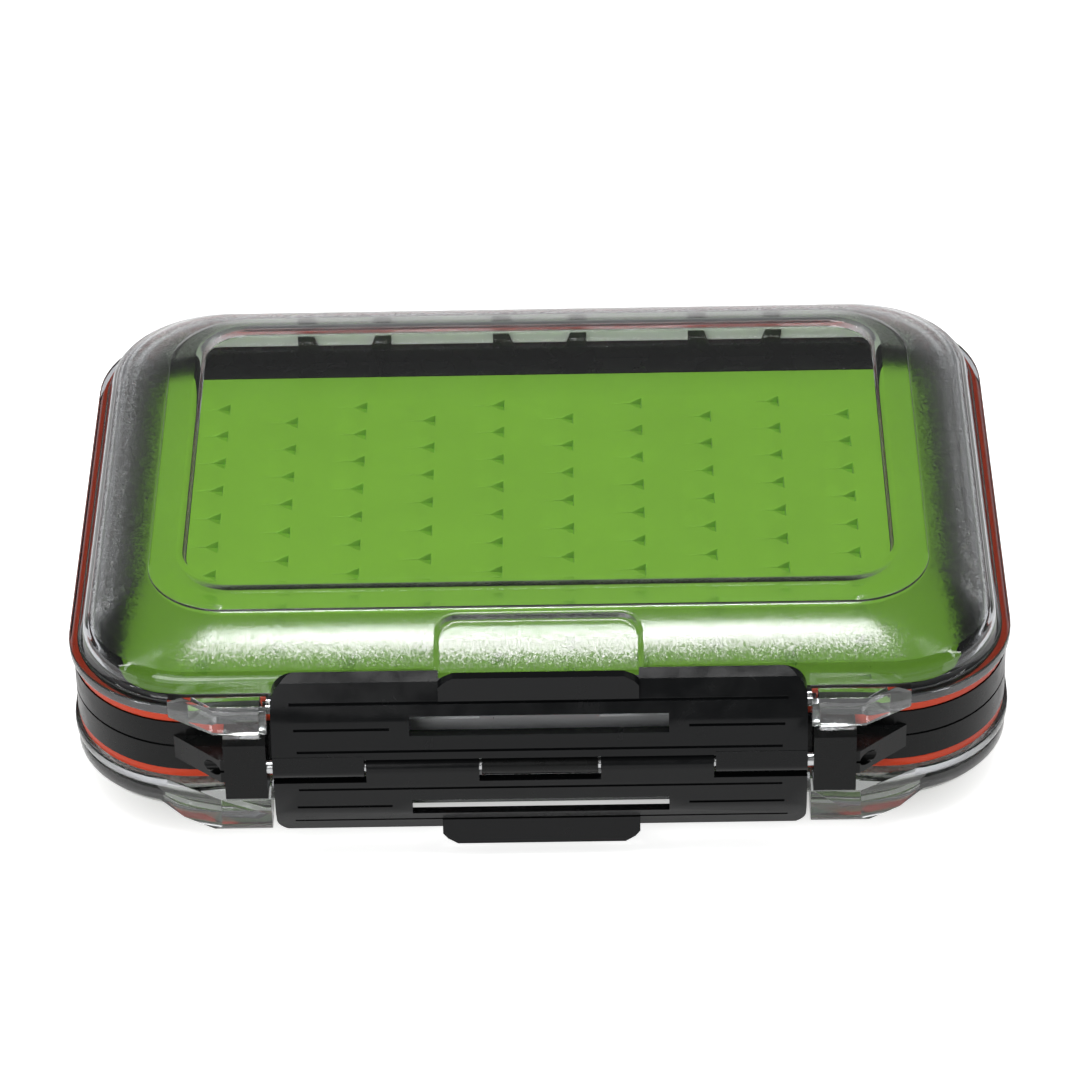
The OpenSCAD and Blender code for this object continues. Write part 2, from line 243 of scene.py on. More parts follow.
def mirrored(obj, name, mirror):
    """A mirrored copy of a piece, with its faces turned the right way out again."""
    mesh = obj.data.copy()
    mesh.transform(mirror)
    mesh.flip_normals()
    return linked(name, mesh)


def flipped_below(obj, name):
    """A copy of an upper piece, mirrored in the middle plane."""
    mirror = Matrix.Translation((0, 0, 2 * MIDDLE * MM)) @ Matrix.Diagonal((1, 1, -1, 1))
    return mirrored(obj, name, mirror)


def arc(x, y, radius, start, turn, steps):
    """Points of an arc round (x, y), with its start and its turn in degrees."""
    angles = [math.radians(start + turn * i / steps) for i in range(steps + 1)]
    return [(x + radius * math.cos(a), y + radius * math.sin(a)) for a in angles]


# Outline of the case

# Half the width and the depth of the case over its flanges, and its corner radius
HALF_W, HALF_D, CORNER = 77.0, 56.0, 21.0
# Sides of X and Y, and the start of the arc in degrees, of the corners from the front right one on
CORNERS = ((1, -1, -90), (1, 1, 0), (-1, 1, 90), (-1, -1, 180))
ARC_STEPS, SIDE_STEPS, BACK_STEPS = 16, 6, 10
# X of the grid lines that cross the front of a lid: dense beside the scoop's sides
FRONT_X = [-28, -22, -19] + [-17.6 + 0.2 * i for i in range(12)] + [-15.2 + 0.4 * i for i in range(8)]
FRONT_X += [-11.5, -7, -3]
FRONT_X += [-x for x in reversed(FRONT_X)]


def loop(inset, radius):
    """Points of a rounded rectangle inside the case's outline, anticlockwise from the right of the front."""
    hx, hy = HALF_W - inset, HALF_D - inset
    cx, cy = hx - radius, hy - radius
    side = [cy * (2 * i / SIDE_STEPS - 1) for i in range(1, SIDE_STEPS)]
    back = [cx * (1 - 2 * i / BACK_STEPS) for i in range(1, BACK_STEPS)]
    straights = ([(hx, y) for y in side], [(x, hy) for x in back], [(-hx, -y) for y in side], [])
    points = []
    for (sx, sy, start), straight in zip(CORNERS, straights):
        points += arc(sx * cx, sy * cy, radius, start, 90, ARC_STEPS) + straight
    # One more point on each side of the grid lines
    beside = cx * 0.8 + 5
    return points + [(x, -hy) for x in (-beside, *FRONT_X, beside)]


def loft(bm, rings, closed=True, material=lambda k: 0):
    """Faces between rings of equal length, each ring a list of points. Returns the rings' vertices."""
    verts = [[bm.verts.new(p) for p in ring] for ring in rings]
    n = len(verts[0])
    for k in range(len(verts) if closed else len(verts) - 1):
        a, b = verts[k], verts[(k + 1) % len(verts)]
        for i in range(n):
            j = (i + 1) % n
            bm.faces.new((a[i], a[j], b[j], b[i])).material_index = material(k)
    return verts


# Shell of a lid

# Finishes of a lid's faces, in the order of its materials
# The pale and the shade finish are one ground plastic in two tones: painted light and painted shade
CLEAR, SATIN, FROSTED, WINDOW, PAINTED_LIGHT, SHADE, CATCH = range(7)

# Heights of the flange's foot and top, the dome's foot and rise, the rim and the window
SEAL_Z, FLANGE_Z, SHOULDER_Z, DOME_H, RIM_Z, WINDOW_Z = 6.6, 8.4, 12.7, 4.8, 19.6, 18.6
DOME_Z = SHOULDER_Z + DOME_H
# Inset of the dome's foot, and the wall's thickness there
SHOULDER_IN, LID_WALL = 3.7, 1.9
# Inset and corner radius of the band's foot and of the rim round the window
BAND_IN, BAND_R, RIM_IN, RIM_R = 13.2, 13.0, 17.9, 9.2
# Share of the dome's rise that goes with the slope at its top, and how much its wall thins inwards
DOME_SLOPE, DOME_THINNING = 0.4, 0.6

EDGE_STEPS = 3
FLANGE_ROWS = 2 * (EDGE_STEPS + 1)
# The section as (inset, z): the groove and the leaning wall above the flange, and the shoulder
WALL = ((1.15, FLANGE_Z), (1.45, 8.46), (1.65, 8.62), (1.78, 8.85), (2.2, 10.0), (2.6, 11.2))
SHOULDER = ((2.74, 11.58), (2.9, 11.86), (3.12, 12.12), (3.38, 12.38), (3.56, 12.55))
# Shares of the way up the dome: close together at the shoulder, even on the rest, and the satin end
DOME_SHARES = [0.0, 0.05, 0.11, 0.18, 0.26, 0.34, 0.42, 0.5] + [0.5 + 0.46 * i / 20 for i in range(1, 21)]
DOME_END = 0.985
# The band round the window as (share of its width, extra height), with its foot and its climb
BAND = ((0.03, 0.0), (0.25, 0.03), (0.5, 0.05), (0.75, 0.05), (0.95, 0.02))
BAND_FOOT, BAND_CLIMB = 0.4, 1.7
# The rim's top and its step down to the window, as (inset, z)
RIM = (
    (RIM_IN, RIM_Z),
    (18.9, RIM_Z),
    (19.05, 19.54),
    (19.13, 19.4),
    (19.3, 18.8),
    (19.37, 18.66),
    (19.5, WINDOW_Z),
)
# Underside of the window and the band, as (inset, radius, z)
UNDER_BAND = (
    (18.9, 8.2, 16.7),
    (18.2, 8.9, 16.66),
    (17.4, 9.5, 16.5),
    (16.0, 10.7, 16.15),
    (14.7, 11.8, 15.82),
)
UNDER_DOME_SHARES = (1.0, 0.9, 0.8, 0.7, 0.6, 0.5, 0.4, 0.3, 0.2, 0.1, 0.03)
# Inside of the wall, and the ground foot with its skirt inside the frame's rim, as (inset, z)
INSIDE = ((5.5, 10.72), (5.15, 10.32), (4.9, 9.92), (4.7, 9.45))
FOOT = ((4.5, 7.6), (4.35, 5.15), (4.2, 5.0), (3.72, 5.0), (3.6, 5.2), (3.6, SEAL_Z - 0.1), (3.5, SEAL_Z))

# The finger scoop: Y of its back edge, its corner radius and the width of its side wall
SCOOP_BACK, SCOOP_R, SCOOP_WALL = -44.1, 3.5, 0.9
# Height at which the scoop starts, and over which it reaches its depth
SCOOP_FOOT, SCOOP_RUN = 9.2, 2.8

# The lower lid's corners and sides: a groove, then a second, thicker rim, as (inset, z). It has a row
# for each one of the wall and the shoulder, whose place it takes
LOWER_RIM = (
    (0.95, 8.4),
    (1.1, 8.5),
    (1.15, 8.75),
    (0.8, 9.05),
    (0.42, 9.25),
    (0.3, 9.6),
    (0.3, 11.2),
    (0.45, 11.5),
    (0.75, 11.8),
    (1.5, 12.8),
    (2.9, 13.7),
)
LOWER_DOME_FOOT = 14.0
# In front of this Y the thicker rim starts beside the latch, at this X, and is whole this much further out
RIM_FRONT, RIM_START, RIM_BLEND = -40, 45.5, 6
# Faces at the hinges that are ground pale, as painted light: behind this Y, and on the wall's inside
# further in than this inset and between these heights
PALE_BACK, PALE_INSET, PALE_LOW, PALE_HIGH = 48, 4.4, 7, 11.3


def dome_point(u, thick=0.0):
    """Inset, corner radius and height of the dome, from the shoulder at 0 to the band at 1."""
    s = thick * (1 - DOME_THINNING * u)
    inset = SHOULDER_IN + u * (BAND_IN - SHOULDER_IN) + s
    radius = (CORNER - SHOULDER_IN) * (1 - u) + BAND_R * u - s
    rise = 1 - DOME_SLOPE * (1 - u) - (1 - DOME_SLOPE) * (1 - u) ** 2
    return inset, radius, SHOULDER_Z + DOME_H * rise - thick


def lid_profile():
    """The lid's section as (inset, radius, z, finish), from the flange's foot up and back inside.

    The second value that it returns is the number of the row at the window's edge.
    """
    edge = sizes().flange_round / MM
    rows = []

    def concentric(points, finish):
        rows.extend((inset, CORNER - inset, z, finish) for inset, z in points)

    concentric(arc(edge, SEAL_Z + edge, edge, -90, -90, EDGE_STEPS), CLEAR)
    concentric(arc(edge, FLANGE_Z - edge, edge, 180, -90, EDGE_STEPS), CLEAR)
    concentric(WALL, CLEAR)
    concentric(SHOULDER, CLEAR)
    rows.extend((*dome_point(u), FROSTED) for u in DOME_SHARES)
    rows.append((*dome_point(DOME_END), SATIN))
    rows.append((BAND_IN, BAND_R, DOME_Z + 0.08, SATIN))
    rows.append((BAND_IN + 0.03, BAND_R - 0.03, DOME_Z + 0.3, SATIN))
    for t, lift in BAND:
        inset, radius = BAND_IN + t * (RIM_IN - BAND_IN), BAND_R + t * (RIM_R - BAND_R)
        rows.append((inset, radius, DOME_Z + BAND_FOOT + BAND_CLIMB * t + lift, SATIN))
    rows.extend((inset, RIM_R + RIM_IN - inset, z, WINDOW) for inset, z in RIM)
    top = len(rows) - 1
    rows.extend((*row, WINDOW) for row in UNDER_BAND)
    rows.extend((*dome_point(u, LID_WALL), CLEAR) for u in UNDER_DOME_SHARES)
    concentric(INSIDE, CLEAR)
    # The ground foot starts in the tone of painted shade, and is turned pale at the hinges
    concentric(FOOT, SHADE)
    return rows, top


def lower_rows(rows):
    """The rows of the lid's section with the lower lid's thicker rim in place of the leaning wall."""
    changed = list(rows)
    for i, (inset, z) in enumerate(LOWER_RIM):
        changed[FLANGE_ROWS + i] = (inset, CORNER - inset, z, CLEAR)
    for k in range(FLANGE_ROWS + len(LOWER_RIM), len(rows)):
        inset, radius, z, finish = rows[k]
        if finish != FROSTED:
            break
        share = (DOME_Z - z) / DOME_H
        changed[k] = (inset, radius, DOME_Z - share * (DOME_Z - LOWER_DOME_FOOT), finish)
    return changed


def smooth_step(t):
    """0 below 0, 1 above 1, and an even curve between them."""
    t = min(1.0, max(0.0, t))
    return t * t * (3 - 2 * t)


def scoop_share(x, y):
    """How far a point of the lid's outside is inside the finger scoop, from 0 to 1."""
    dx = abs(x) - (sizes().scoop_half / MM - SCOOP_R)
    dy = y - (SCOOP_BACK - SCOOP_R)
    gap = math.hypot(dx, dy) if dx > 0 and dy > 0 else max(dx, dy)
    return smooth_step(0.5 - (gap - SCOOP_R) / SCOOP_WALL)


def lid_ring(row, other, outside):
    """Points of one row, sunk in the finger scoop and moved to the other row where the rim is thicker."""
    inset, radius, z, _ = row
    scooped = outside and z > SCOOP_FOOT and inset < BAND_IN
    deep = sizes().scoop_depth / MM * smooth_step((z - SCOOP_FOOT) / SCOOP_RUN)
    ring = []
    for (x, y), (x2, y2) in zip(loop(inset, radius), loop(*other[:2])):
        drop = deep * scoop_share(x, y) if scooped and y < 0 else 0.0
        part = smooth_step((abs(x) - RIM_START) / RIM_BLEND) if y < RIM_FRONT else 1.0
        ring.append((x + part * (x2 - x), y + part * (y2 - y), z - drop + part * (other[2] - z)))
    return ring


def lid_shell(mats, name, lower):
    """Flange, wall, dome, band and window of a lid as one closed skin."""
    rows, top = lid_profile()
    others = lower_rows(rows) if lower else rows
    rings = [lid_ring(row, other, k <= top) for k, (row, other) in enumerate(zip(rows, others))]
    bm = bmesh.new()
    # A face has the finish of the ring that it starts from
    verts = loft(bm, rings, closed=False, material=lambda k: rows[k][3])
    first, last = verts[0], verts[-1]
    for i in range(len(first)):
        j = (i + 1) % len(first)
        bm.faces.new((last[i], last[j], first[j], first[i]))
    # The window: the skin is cut between its top and its underside, and each side is closed
    for face in [f for f in bm.faces if set(f.verts) <= set(verts[top]) | set(verts[top + 1])]:
        bm.faces.remove(face)
    bm.faces.new(verts[top]).material_index = WINDOW
    bm.faces.new(verts[top + 1][::-1]).material_index = WINDOW
    # In front of the hinge ears the ground foot is pale, and so is the inside of the wall above it: painted
    # light. The rest of the foot keeps its painted shade
    for face in bm.faces:
        middle = face.calc_center_median()
        inner = HALF_D - middle.y > PALE_INSET and PALE_LOW < middle.z < PALE_HIGH
        ground = face.material_index == SHADE or (face.material_index == CLEAR and inner)
        if middle.y > PALE_BACK and ground:
            face.material_index = PAINTED_LIGHT
    bmesh.ops.recalc_face_normals(bm, faces=bm.faces)
    return mesh_object(name, bm, mats)


# Lugs, catch and hinge arms of a lid

# The right lug from above and from the side, and the hollow under the upper lid's one
LUG_PLAN = ((43.5, -53), (43.5, -61.1), (52, -61.1), (59.6, -56.2), (59.6, -53))
LUG_SIDE = ((-53, 6.6), (-61.1, 6.6), (-61.1, 11.2), (-60.5, 11.8), (-57.8, 11.8), (-56, 9.5), (-53, 9.5))
LUG_HOLLOW = ((44.8, -56.5), (44.8, -59.8), (51.4, -59.8), (55.6, -56.5))
LOWER_LUG_PLAN = ((43.5, -53), (43.5, -61.1), (51.5, -61.1), (62.5, -54.3), (62.5, -53))
LOWER_LUG_SIDE = ((-53, 6.6), (-61.1, 6.6), (-61.1, 12.1), (-60.2, 13.3), (-57, 13.3), (-53, 10.5))
# The blocks that the plan and the side are cut from, as low and high ends
LUG_Z, LUG_X, HOLLOW_Z = (6.0, 14.0), (43.0, 63.0), (5.0, 9.9)

# The catch from the side, and the raised middle in its groove
CATCH_FRONT = -56.9
CATCH_SIDE = (
    (CATCH_FRONT, 3.1),
    (-55.7, 3.1),
    (-55.7, 6.6),
    (-53, 6.6),
    (-53, 11.3),
    (CATCH_FRONT, 11.3),
    (CATCH_FRONT, 9.4),
    (-56.4, 9.4),
    (-56.4, 6.1),
    (CATCH_FRONT, 6.1),
)
CATCH_MIDDLE = ((CATCH_FRONT, 5.1), (CATCH_FRONT, 6.7), (-56.3, 6.7), (-56.3, 5.1))
CATCH_HALF, CATCH_MIDDLE_HALF = 21, 9.6

# The hinge stations, the axis of their pins, and the knuckles and their bore
HINGE_X = (-34.6, 0, 34.6)
PIN_Y, PIN_Z, KNUCKLE_R, BORE_R = 60.3, 3.4, 2.6, 1.05
BORE_HALF, BORE_STEPS = 60, 32
ARM_SIDE = ((55, 6.6), (55, 8.4), (56.6, 8.4), (61.86, 5.45), (PIN_Y, PIN_Z), (58.01, 4.6), (57.7, 6.6))
ARM_HALF = 4.35
# Wider than the catch or an arm, so that their rounding is as wide as they have room for
AS_WIDE_AS_FITS = 0.1


def lid_lug(lower):
    """Clear lug on the right of the latch, hollow underneath on the upper lid, thicker on the lower."""
    lug = prism("lug", LOWER_LUG_PLAN if lower else LUG_PLAN, *LUG_Z, "Z")
    # Inside out for the cut, which turns it back and then splits its facets where they look clearer
    lug.data.flip_normals()
    side = prism("side", LOWER_LUG_SIDE if lower else LUG_SIDE, *LUG_X, "X")
    combine(lug, [side], "INTERSECT")
    if not lower:
        combine(lug, [prism("hollow", LUG_HOLLOW, *HOLLOW_Z, "Z")], "DIFFERENCE")
    bevel(lug, sizes().lug_edge)
    apply_modifiers(lug)
    return lug


def lid_catch():
    """Clear catch behind the latch: a ridge with a raised middle, a groove and a rib."""
    catch = prism("catch", CATCH_SIDE, -CATCH_HALF, CATCH_HALF, "X")
    middle = prism("middle", CATCH_MIDDLE, -CATCH_MIDDLE_HALF, CATCH_MIDDLE_HALF, "X")
    combine(catch, [middle], "UNION")
    bevel(catch, AS_WIDE_AS_FITS)
    apply_modifiers(catch)
    return catch


def lid_arm(x):
    """Arm and knuckle of a lid at one hinge station."""
    ends = (x - ARM_HALF, x + ARM_HALF)
    arm = prism("arm", ARM_SIDE, *ends, "X")
    combine(arm, [round_bar("knuckle", PIN_Y, PIN_Z, KNUCKLE_R, *ends)], "UNION")
    bevel(arm, AS_WIDE_AS_FITS)
    apply_modifiers(arm)
    return arm


def build_lid(mats, name, lower):
    """One whole lid, drawn as the upper one."""
    lid = lid_shell(mats, name, lower)
    lug = lid_lug(lower)
    left_lug = mirrored(lug, "lug_left", Matrix.Diagonal((-1, 1, 1, 1)))
    catch = lid_catch()
    parts = [catch, lug, left_lug] + [lid_arm(x) for x in HINGE_X]
    for part in parts:
        for mat in mats:
            part.data.materials.append(mat)
        for face in part.data.polygons:
            face.material_index = CATCH if part is catch else WINDOW
    combine(lid, parts, "UNION")
    bore = round_bar("bore", PIN_Y, PIN_Z, BORE_R, -BORE_HALF, BORE_HALF, BORE_STEPS)
    combine(lid, [bore], "DIFFERENCE")
    return lid


class FLYBOX_OT_lids(bpy.types.Operator):
    """Model the two clear lids with their frosted domes"""

    bl_idname = "flybox.lids"
    bl_label = "Clear lids"

    def execute(self, context):
        mats = [polycarbonate(finish) for finish in MOULDED] + [ground_plastic(tone) for tone in GROUND]
        top = build_lid(mats, "top_lid_clear", False)
        drawn = build_lid(mats, "drawn_lid", True)
        for lid in (top, drawn):
            smooth_below(lid, 32)
        bottom = flipped_below(drawn, "bottom_lid_clear")
        bpy.data.objects.remove(drawn)
        for lid, node in ((top, "top_lid"), (bottom, "bottom_lid")):
            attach(lid, node)
            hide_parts(node)
        return {"FINISHED"}


# Silicone pads

# Half the pad's width and depth, its corner radius, and the heights of its underside and top
PAD_X, PAD_Y, PAD_R, PAD_LOW, PAD_TOP = 68.9, 46.0, 7.9, 0.5, 2.1
PAD_ARC_STEPS = 10
# The pad's side as (outline drawn in or out, z), from the top face down
PAD_SKIRT = (
    (-0.35, PAD_TOP),
    (-0.1, PAD_TOP - 0.1),
    (0.0, PAD_TOP - 0.35),
    (0.0, PAD_LOW + 0.2),
    (-0.2, PAD_LOW),
)

# Right end of the first slit. Every second column is set forward by this share of the pitch
SLIT_X0, SLIT_Y0, SLIT_STAGGER = -54.53, 36.3, 0.53
SLIT_COLUMNS, SLIT_ROWS, SLIT_MARGIN = 10, 11, 3
# Rings from a slit's lip down, as (how far they are drawn out, depth at its end, apex and tail)
SLIT_LIP = ((0.3, 0, 0, 0), (0.16, 0.012, 0.006, 0.001), (0.06, 0.08, 0.025, 0.002), (0.0, 0.25, 0.06, 0.004))
# The lowest ring, which has the slit's depth at its end
FLOOR_IN, FLOOR_APEX, FLOOR_TAIL = 0.06, 0.2, 0.006
# Half the width of a slit where its mouth ends and along its closed part
APEX_HALF, TAIL_HALF = 0.1, 0.04
# The rubber swells a little above the closed part of a slit, as (x, y, height) from its right end
SWELL = ((-1.2, 2.4, 0.05), (-3.1, 1.3, 0.22), (-4.8, 1.0, 0.16), (-6.6, 0.9, 0.05), (-3.6, -1.3, -0.04))


def slit_places():
    """Right end of every slit."""
    px, py = sizes().slit_pitch_x / MM, sizes().slit_pitch_y / MM
    for i in range(SLIT_COLUMNS):
        for j in range(SLIT_ROWS):
            y = SLIT_Y0 - (i % 2) * SLIT_STAGGER * py - j * py
            if y > -PAD_Y + SLIT_MARGIN:
                yield SLIT_X0 + i * px, y


def pad_outline(grow):
    """The pad's outline, drawn in or out."""
    hx, hy, r = PAD_X + grow, PAD_Y + grow, PAD_R + grow
    points = []
    for sx, sy, start in CORNERS:
        points += arc(sx * (hx - r), sy * (hy - r), r, start, 90, PAD_ARC_STEPS)
    return points


def slit_ring(grow, end, apex, tail_end):
    """A ring round a slit as (x, y, depth) from its right end, with the depths at three places."""
    half, reach = sizes().slit_open / MM / 2, sizes().slit_reach / MM
    tail = sizes().slit_tail / MM
    upper = [
        (-0.5 * reach, 0.56 * half + grow, (end + apex) / 2),
        (-reach, APEX_HALF + grow, apex),
        (-0.6 * tail, TAIL_HALF + grow, (apex + tail_end) / 2),
        (-tail - grow, grow * 0.5, tail_end),
    ]
    mouth = [(grow, y, end) for y in (half + grow, 0.4 * half, -0.4 * half, -half - grow)]
    return mouth + [(x, -y, depth) for x, y, depth in upper] + upper[::-1]


def slit_rings():
    """Rings of a slit from the lip down to the floor."""
    floor = (-FLOOR_IN, sizes().slit_depth / MM, FLOOR_APEX, FLOOR_TAIL)
    return [slit_ring(*levels) for levels in (*SLIT_LIP, floor)]


def build_pad():
    """A pad with its slits, drawn as the upper one."""
    points, edges, heights = [], [], []

    def chain(ring):
        start, n = len(points), len(ring)
        points.extend(Vector((x, y)) for x, y, _ in ring)
        heights.extend(PAD_TOP - depth for _, _, depth in ring)
        edges.extend((start + i, start + (i + 1) % n) for i in range(n))

    chain([(x, y, 0) for x, y in pad_outline(PAD_SKIRT[0][0])])
    rings = slit_rings()
    for cx, cy in slit_places():
        for ring in rings:
            chain([(cx + x, cy + y, depth) for x, y, depth in ring])
        points.extend(Vector((cx + dx, cy + dy)) for dx, dy, _ in SWELL)
        heights.extend(PAD_TOP + up for _, _, up in SWELL)
    verts, _, faces, kept, _, _ = geometry.delaunay_2d_cdt(points, edges, [], 1, 1e-6)
    bm = bmesh.new()
    made = []
    for v, sources in zip(verts, kept):
        z = heights[sources[0]] if sources else PAD_TOP
        made.append(bm.verts.new((v.x, v.y, z)))
    for face in faces:
        bm.faces.new([made[i] for i in face])
    skirt = [[(x, y, z) for x, y in pad_outline(grow)] for grow, z in PAD_SKIRT]
    bm.faces.new(loft(bm, skirt, closed=False)[-1])
    bmesh.ops.remove_doubles(bm, verts=bm.verts, dist=1e-4)
    bmesh.ops.recalc_face_normals(bm, faces=bm.faces)
    return mesh_object("upper_pad_silicone", bm)


class FLYBOX_OT_pads(bpy.types.Operator):
    """Model the two slit silicone pads"""

    bl_idname = "flybox.pads"
    bl_label = "Silicone pads"

    def execute(self, context):
        upper = build_pad()
        smooth_below(upper, 40)
        upper.data.materials.append(silicone("moulded green silicone", colours().pad_green, 0.5))
        lower = flipped_below(upper, "lower_pad_silicone")
        for pad, node in ((upper, "upper_pad"), (lower, "lower_pad")):
            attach(pad, "frame")
            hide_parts(node)
        return {"FINISHED"}


# Seals

# Insets of the bead's sides, and heights of its foot and its top
BEAD_OUT, BEAD_IN, BEAD_LOW, BEAD_HIGH = 0.75, 2.1, 4.72, 6.42
BEAD_STEPS = 4
# The tongue in the frame's groove as (inset, z), from the bead's inner side to its outer side
TONGUE = (
    (2.05, BEAD_LOW),
    (2.38, BEAD_LOW - 0.05),
    (2.38, 3.6),
    (2.2, 3.42),
    (1.6, 3.42),
    (1.42, 3.6),
    (1.4, BEAD_LOW),
)


def build_seal():
    """A seal ring with rounded edges and a tongue in the frame's groove, drawn as the upper one."""
    r = sizes().seal_round / MM
    out, inn, low, high = BEAD_OUT + r, BEAD_IN - r, BEAD_LOW + r, BEAD_HIGH - r
    section = []
    for inset, z, start in ((out, high, 180), (inn, high, 90), (inn, low, 0)):
        section += arc(inset, z, r, start, -90, BEAD_STEPS)
    section += TONGUE
    section += arc(out, low, r, -90, -90, BEAD_STEPS)
    bm = bmesh.new()
    loft(bm, [[(x, y, z) for x, y in loop(inset, CORNER - inset)] for inset, z in section])
    bmesh.ops.recalc_face_normals(bm, faces=bm.faces)
    return mesh_object("upper_seal_silicone", bm)


class FLYBOX_OT_seals(bpy.types.Operator):
    """Model the two silicone seals"""

    bl_idname = "flybox.seals"
    bl_label = "Seals"

    def execute(self, context):
        upper = build_seal()
        smooth_below(upper, 50)
        upper.data.materials.append(silicone("moulded orange silicone", colours().seal_orange, 0.35))
        lower = flipped_below(upper, "lower_seal_silicone")
        for seal, node in ((upper, "upper_seal"), (lower, "lower_seal")):
            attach(seal, "frame")
            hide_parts(node)
        return {"FINISHED"}


# Black mouldings and steel pins, carried over from the CAD model

# Vertices of a CAD mesh this near are one, and neighbouring faces within this angle are one face
WELD_GAP, FLAT_DEGREES = 0.002 * MM, 0.6
PIN_EDGE, ROOT_EDGE = 0.15 * MM, 0.1 * MM
# An ear's root: its outer side, its inner side at the top and at the foot, from the station's middle
ROOT_OUT, ROOT_TOP, ROOT_LOW = 8.3, 5.8, 4.4
ROOT_FOOT_Z, ROOT_TOP_Z, ROOT_Y = 4.6, 8.4, (50.7, 51.2)


def finish_node(name, mat, width):
    """Round the edges of a CAD node with modifiers, and give it its material."""
    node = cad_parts[name]
    weld = node.modifiers.new("weld", "WELD")
    weld.merge_threshold = WELD_GAP
    flat = node.modifiers.new("flat faces", "DECIMATE")
    flat.decimate_type = "DISSOLVE"
    flat.angle_limit = math.radians(FLAT_DEGREES)
    bevel(node, width, segments=3, degrees=24)
    for face in node.data.polygons:
        face.use_smooth = True
    normals = node.modifiers.new("flat shading", "WEIGHTED_NORMAL")
    normals.weight = 60
    normals.keep_sharp = True
    node.data.materials.clear()
    node.data.materials.append(mat)


def ear_root(x, side, face):
    """Root of one hinge ear: on the side's side of a station at x, above the middle plane or below."""
    out, top, low = x + side * ROOT_OUT, x + side * ROOT_TOP, x + side * ROOT_LOW
    foot_z, top_z = face * ROOT_FOOT_Z, face * ROOT_TOP_Z
    root = prism("root", [(out, foot_z), (low, foot_z), (top, top_z), (out, top_z)], *ROOT_Y, "Y")
    bevel(root, ROOT_EDGE)
    apply_modifiers(root)
    return root


def ear_roots():
    """Roots of the hinge ears, which stand on the frame's rim at the back, above and below."""
    parts = [ear_root(x, side, face) for x in HINGE_X for side in (-1, 1) for face in (-1, 1)]
    bm = bmesh.new()
    for part in parts:
        bm.from_mesh(part.data)
        bpy.data.objects.remove(part)
    mesh = bpy.data.meshes.new("ear_roots")
    bmesh.ops.recalc_face_normals(bm, faces=bm.faces)
    bm.to_mesh(mesh)
    bm.free()
    return linked("ear_roots", mesh)


class FLYBOX_OT_frame(bpy.types.Operator):
    """Finish the black middle frame"""

    bl_idname = "flybox.frame"
    bl_label = "Middle frame"

    def execute(self, context):
        mat = black_abs("moulded satin ABS", colours().frame_black, 0.26)
        finish_node("frame", mat, sizes().black_edge)
        roots = ear_roots()
        roots.data.materials.append(mat)
        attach(roots, "frame")
        return {"FINISHED"}


class FLYBOX_OT_latches(bpy.types.Operator):
    """Finish the two black latches"""

    bl_idname = "flybox.latches"
    bl_label = "Latches"

    def execute(self, context):
        mat = black_abs("moulded semi-gloss ABS", colours().latch_black, 0.2)
        for name in ("upper_latch", "lower_latch"):
            finish_node(name, mat, sizes().black_edge)
        return {"FINISHED"}


class FLYBOX_OT_pins(bpy.types.Operator):
    """Finish the steel pins"""

    bl_idname = "flybox.pins"
    bl_label = "Steel pins"

    def execute(self, context):
        mat = drawn_steel()
        for name in ("latch_pin", "upper_hinge_pins", "lower_hinge_pins"):
            finish_node(name, mat, PIN_EDGE)
        return {"FINISHED"}


# Node helpers


def add(tree, kind, values=None, links=None):
    """Add a node, set its settings and free sockets, and link the sockets that are fed."""
    node = tree.nodes.new(kind)
    for key, value in (values or {}).items():
        if isinstance(key, str) and hasattr(node, key):
            setattr(node, key, value)
        else:
            node.inputs[key].default_value = value
    for key, source in (links or {}).items():
        tree.links.new(source, node.inputs[key])
    return node


def new_material(name):
    """An empty material and its node tree."""
    mat = bpy.data.materials.new(name)
    mat.use_nodes = True
    mat.node_tree.nodes.clear()
    return mat, mat.node_tree


def rgba(rgb):
    """A colour with full alpha."""
    return (*rgb, 1.0)


# Materials

# Roughness, lean of the facets and their size as a share of the frost's grain, of each moulded finish
MOULDED = {
    "polished": (0.03, 0.0, 0.0),
    "satin": (0.14, 0.02, 0.7),
    "frosted": (0.23, 0.1, 1.0),
    "polished window": (0.0, 0.0, 0.0),
}
# Colour of the ground plastic and the share of light that goes through it, by its tone
# The pale tone and the tone after it are painted light and painted shade, lit and shaded copies of one
# plastic; the thin tone is the catch's own
GROUND = {"pale": ("#F2F3F5", 0.2), "painted_shade": ("#26282A", 0.2), "thin": ("#D8DADC", 0.55)}
POLYCARBONATE_IOR, SILICONE_IOR, ABS_IOR = 1.58, 1.41, 1.53
# Highlights on satin and frosted plastic lean to lilac
TOOLED_SPECULAR, TOOLED_TINT = 0.13, (0.96, 0.85, 1.0)
# Light that thin clear plastic lets through on its way to other surfaces
LET_THROUGH = 0.93

# Sizes of the patterns: clouds in the ground plastic, the silicone's dusty patches and its grain, rub
# marks and tool grain on the ABS, and the lines drawn along the steel. Real grains and lines are
# finer, and are drawn as coarse as they need to show
CLOUDS, DUST, SILICONE_GRAIN = 1.11 * MM, 16.7 * MM, 0.25 * MM
RUBS, TOOL_GRAIN, STEEL_LINES = 4.55 * MM, 0.333 * MM, 0.167 * MM
# How high the grains and the lines stand
GRAIN_HEIGHT, LINE_HEIGHT = 0.02 * MM, 0.01 * MM


